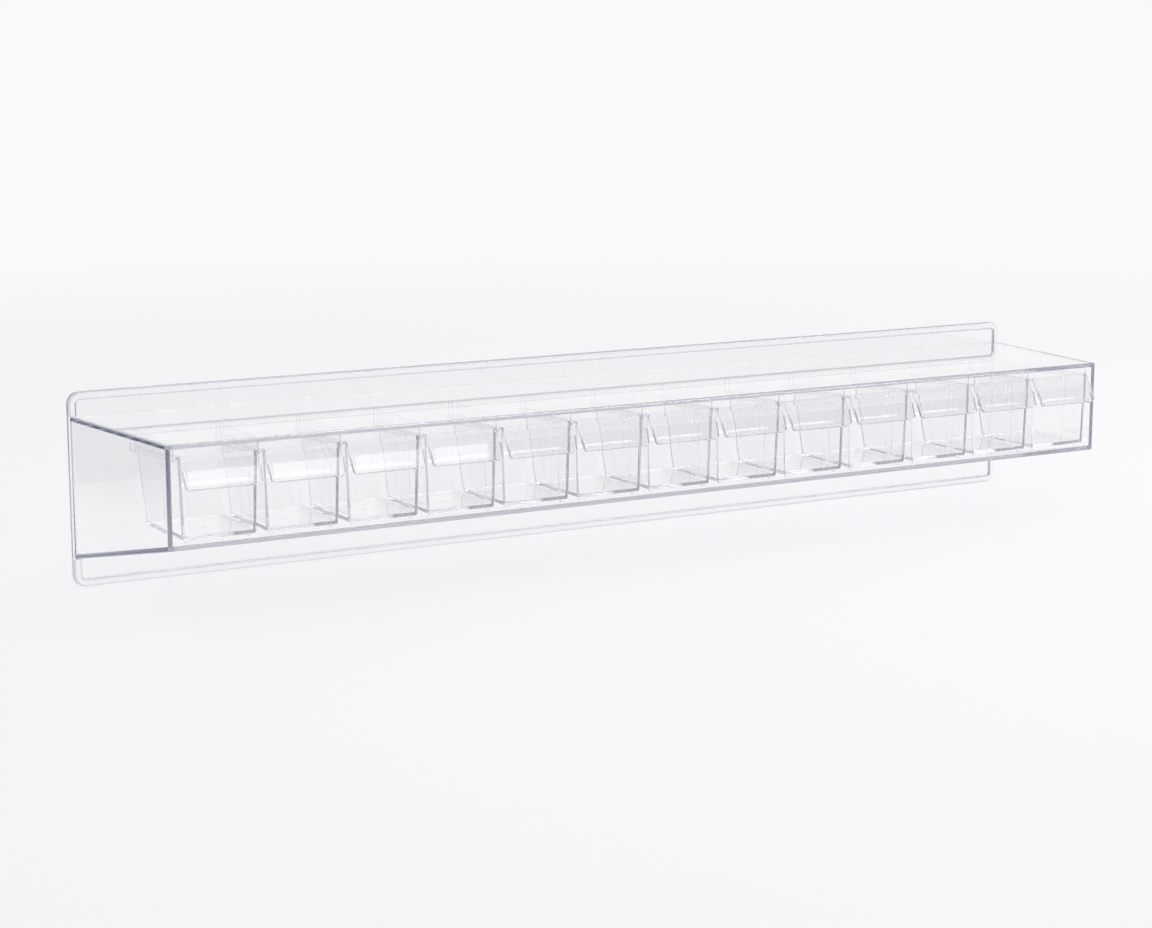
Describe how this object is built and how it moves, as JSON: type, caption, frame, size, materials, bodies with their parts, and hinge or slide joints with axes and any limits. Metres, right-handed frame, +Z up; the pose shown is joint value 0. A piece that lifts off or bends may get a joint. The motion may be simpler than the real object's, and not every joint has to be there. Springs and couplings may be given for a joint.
{
  "type": "drawer organizer",
  "caption": "Long clear plastic wall organizer: a flared hood on a bordered back plate, holding a row of small hanging drawers that slide out by sloping label flaps.",
  "frame": {"origin": "centre of the back plate's flat wall face", "axes": "+X along the row, to the right seen from the front; +Y into the wall; +Z up"},
  "size_m": [0.627, 0.1218, 0.106],
  "materials": {
    "clear_plastic": "clear, polished"
  },
  "bodies": {
    "housing": {"hood": "clear_plastic", "back_plate": "clear_plastic", "hanger_rail_01": "clear_plastic", "hanger_rail_02": "clear_plastic", "hanger_rail_03": "clear_plastic", "hanger_rail_04": "clear_plastic", "hanger_rail_05": "clear_plastic", "hanger_rail_06": "clear_plastic", "hanger_rail_07": "clear_plastic", "hanger_rail_08": "clear_plastic", "hanger_rail_09": "clear_plastic", "hanger_rail_10": "clear_plastic", "hanger_rail_11": "clear_plastic", "hanger_rail_12": "clear_plastic", "hanger_rail_13": "clear_plastic", "hanger_rail_14": "clear_plastic"},
    "drawer_01_body": {"drawer_01": "clear_plastic"},
    "drawer_02_body": {"drawer_02": "clear_plastic"},
    "drawer_03_body": {"drawer_03": "clear_plastic"},
    "drawer_04_body": {"drawer_04": "clear_plastic"},
    "drawer_05_body": {"drawer_05": "clear_plastic"},
    "drawer_06_body": {"drawer_06": "clear_plastic"},
    "drawer_07_body": {"drawer_07": "clear_plastic"},
    "drawer_08_body": {"drawer_08": "clear_plastic"},
    "drawer_09_body": {"drawer_09": "clear_plastic"},
    "drawer_10_body": {"drawer_10": "clear_plastic"},
    "drawer_11_body": {"drawer_11": "clear_plastic"},
    "drawer_12_body": {"drawer_12": "clear_plastic"},
    "drawer_13_body": {"drawer_13": "clear_plastic"}
  },
  "joints": [
    {"name": "drawer_01_slide", "type": "slide", "parent": "housing", "child": "drawer_01_body", "axis": [0, -0.9986, 0.0523], "range_m": [0, 0.044]},
    {"name": "drawer_02_slide", "type": "slide", "parent": "housing", "child": "drawer_02_body", "axis": [0, -0.9986, 0.0523], "range_m": [0, 0.044]},
    {"name": "drawer_03_slide", "type": "slide", "parent": "housing", "child": "drawer_03_body", "axis": [0, -0.9986, 0.0523], "range_m": [0, 0.044]},
    {"name": "drawer_04_slide", "type": "slide", "parent": "housing", "child": "drawer_04_body", "axis": [0, -0.9986, 0.0523], "range_m": [0, 0.044]},
    {"name": "drawer_05_slide", "type": "slide", "parent": "housing", "child": "drawer_05_body", "axis": [0, -0.9986, 0.0523], "range_m": [0, 0.044]},
    {"name": "drawer_06_slide", "type": "slide", "parent": "housing", "child": "drawer_06_body", "axis": [0, -0.9986, 0.0523], "range_m": [0, 0.044]},
    {"name": "drawer_07_slide", "type": "slide", "parent": "housing", "child": "drawer_07_body", "axis": [0, -0.9986, 0.0523], "range_m": [0, 0.044]},
    {"name": "drawer_08_slide", "type": "slide", "parent": "housing", "child": "drawer_08_body", "axis": [0, -0.9986, 0.0523], "range_m": [0, 0.044]},
    {"name": "drawer_09_slide", "type": "slide", "parent": "housing", "child": "drawer_09_body", "axis": [0, -0.9986, 0.0523], "range_m": [0, 0.044]},
    {"name": "drawer_10_slide", "type": "slide", "parent": "housing", "child": "drawer_10_body", "axis": [0, -0.9986, 0.0523], "range_m": [0, 0.044]},
    {"name": "drawer_11_slide", "type": "slide", "parent": "housing", "child": "drawer_11_body", "axis": [0, -0.9986, 0.0523], "range_m": [0, 0.044]},
    {"name": "drawer_12_slide", "type": "slide", "parent": "housing", "child": "drawer_12_body", "axis": [0, -0.9986, 0.0523], "range_m": [0, 0.044]},
    {"name": "drawer_13_slide", "type": "slide", "parent": "housing", "child": "drawer_13_body", "axis": [0, -0.9986, 0.0523], "range_m": [0, 0.044]}
  ]
}
